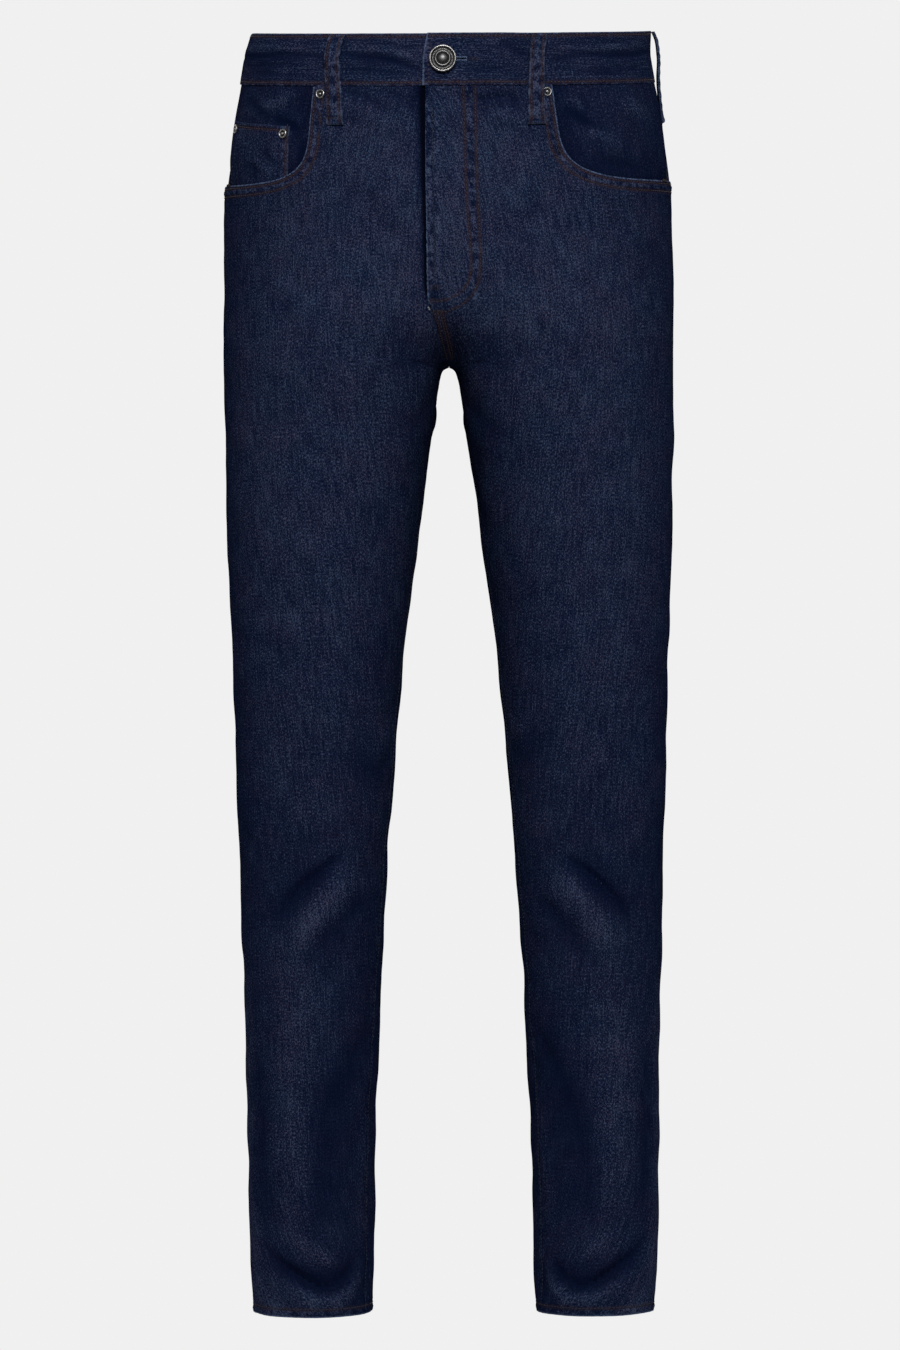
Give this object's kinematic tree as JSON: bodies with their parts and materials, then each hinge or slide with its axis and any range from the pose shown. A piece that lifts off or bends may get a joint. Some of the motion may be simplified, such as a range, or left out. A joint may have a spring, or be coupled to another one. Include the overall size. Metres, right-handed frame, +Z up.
{
  "type": "slim fit jeans",
  "caption": "Slim fit dark denim jeans with scoop front pockets, a coin pocket, patch back pockets, belt loops, a buttoned waistband and a zip fly, held in their worn shape.",
  "frame": {"origin": "centre of the waist opening, halfway up the waistband at the sides", "axes": "+Z up along the body, -Y to the front (the fly), +X to the wearer's left"},
  "size_m": [0.3709, 0.2503, 1.0621],
  "materials": {
    "denim": "dark indigo twill, matt, with brown topstitching",
    "zip_tape": "dark woven tape",
    "pewter": "antique pewter, darkened in its recesses"
  },
  "bodies": {
    "root": {"front_left": "denim", "front_right": "denim", "back_left": "denim", "back_right": "denim", "yoke_left": "denim", "yoke_right": "denim", "pocket_facing_left": "denim", "pocket_facing_right": "denim", "back_pocket_left": "denim", "back_pocket_right": "denim", "coin_pocket": "denim", "waistband": "denim", "belt_loop_front_left": "denim", "belt_loop_front_right": "denim", "belt_loop_side_left": "denim", "belt_loop_side_right": "denim", "belt_loop_back": "denim", "fly_shield": "denim", "zip_tape": "zip_tape", "zip_slider": "pewter", "shank_button": "pewter", "rivet_mouth_right": "pewter", "rivet_mouth_left": "pewter", "rivet_coin_inner": "pewter", "rivet_coin_outer": "pewter"}
  },
  "joints": []
}
